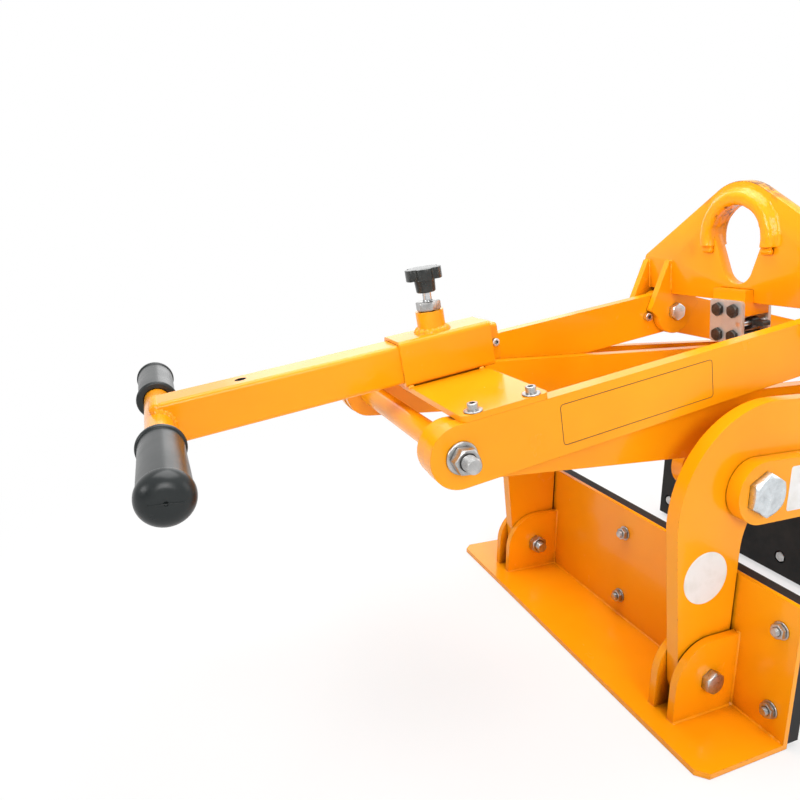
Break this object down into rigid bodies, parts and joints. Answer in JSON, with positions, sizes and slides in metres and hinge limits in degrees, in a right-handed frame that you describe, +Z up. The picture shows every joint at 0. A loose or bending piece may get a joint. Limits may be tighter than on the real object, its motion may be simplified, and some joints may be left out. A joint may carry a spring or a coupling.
{
  "type": "block lifter",
  "caption": "Scissor block lifter: crossed plate levers hung from a lifting eye close long rubber-lined grips on a block as the eye rises; sliding push handles stick out at both ends.",
  "frame": {"origin": "middle of the lifter on the floor, under the lifting eye, at the lowest point of the grips' flanges", "axes": "+X across the grips towards the right-hand handle, +Y along the grips away from the viewer, +Z up"},
  "size_m": [1.977, 0.704, 0.7779],
  "materials": {
    "orange_paint": "gloss amber-orange paint",
    "zinc_steel": "bright zinc plate",
    "stainless_steel": "satin",
    "black_steel": "black oxide",
    "bronze": "bearing bronze",
    "black_rubber": "matt",
    "black_plastic": "satin"
  },
  "bodies": {
    "pivot_frame": {"inner_link_near": "orange_paint", "inner_link_far": "orange_paint", "outer_link_near": "orange_paint", "outer_link_far": "orange_paint", "cross_beam": "orange_paint", "lock_bar": "orange_paint", "pivot_bolts": "zinc_steel", "pivot_spacers": "zinc_steel"},
    "head": {"lifting_plate": "orange_paint", "eye_collars": "orange_paint", "head_ears": "orange_paint", "head_bolts": "zinc_steel", "lock_core": "orange_paint", "lock_covers": "stainless_steel", "lock_bolts": "black_steel", "pawl_pin": "zinc_steel"},
    "pawl": {"lock_pawl": "black_steel"},
    "lever_left": {"lever_left_near": "orange_paint", "lever_left_far": "orange_paint", "lever_left_bushes": "bronze"},
    "tie_left": {"tie_left_near": "orange_paint", "tie_left_far": "orange_paint", "pin_rod_left": "zinc_steel", "pin_spacer_left": "orange_paint", "pin_nuts_left": "zinc_steel", "stop_screws_left": "zinc_steel", "handle_carrier_left": "orange_paint", "carrier_screws_left": "zinc_steel", "plunger_body_left": "stainless_steel"},
    "handle_left": {"handle_tube_left": "orange_paint", "handle_grips_left": "black_rubber", "handle_stop_left": "zinc_steel"},
    "plunger_left": {"plunger_pin_left": "stainless_steel", "plunger_knob_left": "black_plastic"},
    "grip_left": {"grip_plate_left": "orange_paint", "clevis_bolts_left": "zinc_steel", "pad_left": "black_rubber", "pad_bolts_left": "zinc_steel"},
    "lever_right": {"lever_right_near": "orange_paint", "lever_right_far": "orange_paint", "lever_right_bushes": "bronze"},
    "tie_right": {"tie_right_near": "orange_paint", "tie_right_far": "orange_paint", "pin_rod_right": "zinc_steel", "pin_spacer_right": "orange_paint", "pin_nuts_right": "zinc_steel", "stop_screws_right": "zinc_steel", "handle_carrier_right": "orange_paint", "carrier_screws_right": "zinc_steel", "plunger_body_right": "stainless_steel"},
    "handle_right": {"handle_tube_right": "orange_paint", "handle_grips_right": "black_rubber", "handle_stop_right": "zinc_steel"},
    "plunger_right": {"plunger_pin_right": "stainless_steel", "plunger_knob_right": "black_plastic"},
    "grip_right": {"grip_plate_right": "orange_paint", "clevis_bolts_right": "zinc_steel", "pad_right": "black_rubber", "pad_bolts_right": "zinc_steel"}
  },
  "joints": [
    {"name": "scissor_left", "type": "hinge", "parent": "pivot_frame", "child": "lever_left", "pos_m": [-0.217, 0, 0.3405], "axis": [0, -1, 0], "range_deg": [0, 10]},
    {"name": "scissor_right", "type": "hinge", "parent": "pivot_frame", "child": "lever_right", "pos_m": [0.217, 0, 0.3405], "axis": [0, 1, 0], "range_deg": [0, 10.2]},
    {"name": "tie_left_pin", "type": "hinge", "parent": "lever_right", "child": "tie_left", "pos_m": [-0.64, 0, 0.4185], "axis": [0, -1, 0], "range_deg": [0, 19.15]},
    {"name": "tie_right_pin", "type": "hinge", "parent": "lever_left", "child": "tie_right", "pos_m": [0.64, 0, 0.4185], "axis": [0, 1, 0], "range_deg": [0, 19.15]},
    {"name": "head_pin", "type": "hinge", "parent": "tie_left", "child": "head", "pos_m": [0, 0, 0.538], "axis": [0, 1, 0], "range_deg": [0, 9.15]},
    {"name": "grip_left_pin", "type": "hinge", "parent": "lever_left", "child": "grip_left", "pos_m": [-0.2665, 0, 0.062], "axis": [0, 1, 0], "range_deg": [0, 10.2]},
    {"name": "grip_right_pin", "type": "hinge", "parent": "lever_right", "child": "grip_right", "pos_m": [0.2665, 0, 0.062], "axis": [0, -1, 0], "range_deg": [0, 10.2]},
    {"name": "handle_left_slide", "type": "slide", "parent": "tie_left", "child": "handle_left", "axis": [0.983, 0, 0.1835], "range_m": [0, 0.272]},
    {"name": "handle_right_slide", "type": "slide", "parent": "tie_right", "child": "handle_right", "axis": [-0.983, 0, 0.1835], "range_m": [0, 0.272]},
    {"name": "plunger_left_slide", "type": "slide", "parent": "tie_left", "child": "plunger_left", "axis": [0.1835, 0, -0.983], "range_m": [0, 0.012]},
    {"name": "plunger_right_slide", "type": "slide", "parent": "tie_right", "child": "plunger_right", "axis": [-0.1835, 0, -0.983], "range_m": [0, 0.012]},
    {"name": "pawl_pivot", "type": "hinge", "parent": "head", "child": "pawl", "pos_m": [-0.00012, -0.027, 0.53899], "axis": [0.9934, 0, 0.1149], "range_deg": [0, 20]}
  ],
  "couplings": [
    {"joint": "scissor_right", "follows": "scissor_left", "ratio": 1},
    {"joint": "tie_left_pin", "follows": "scissor_left", "ratio": 1.875},
    {"joint": "tie_right_pin", "follows": "scissor_left", "ratio": 1.875},
    {"joint": "head_pin", "follows": "scissor_left", "ratio": 0.875},
    {"joint": "grip_left_pin", "follows": "scissor_left", "ratio": 1},
    {"joint": "grip_right_pin", "follows": "scissor_left", "ratio": 1}
  ]
}
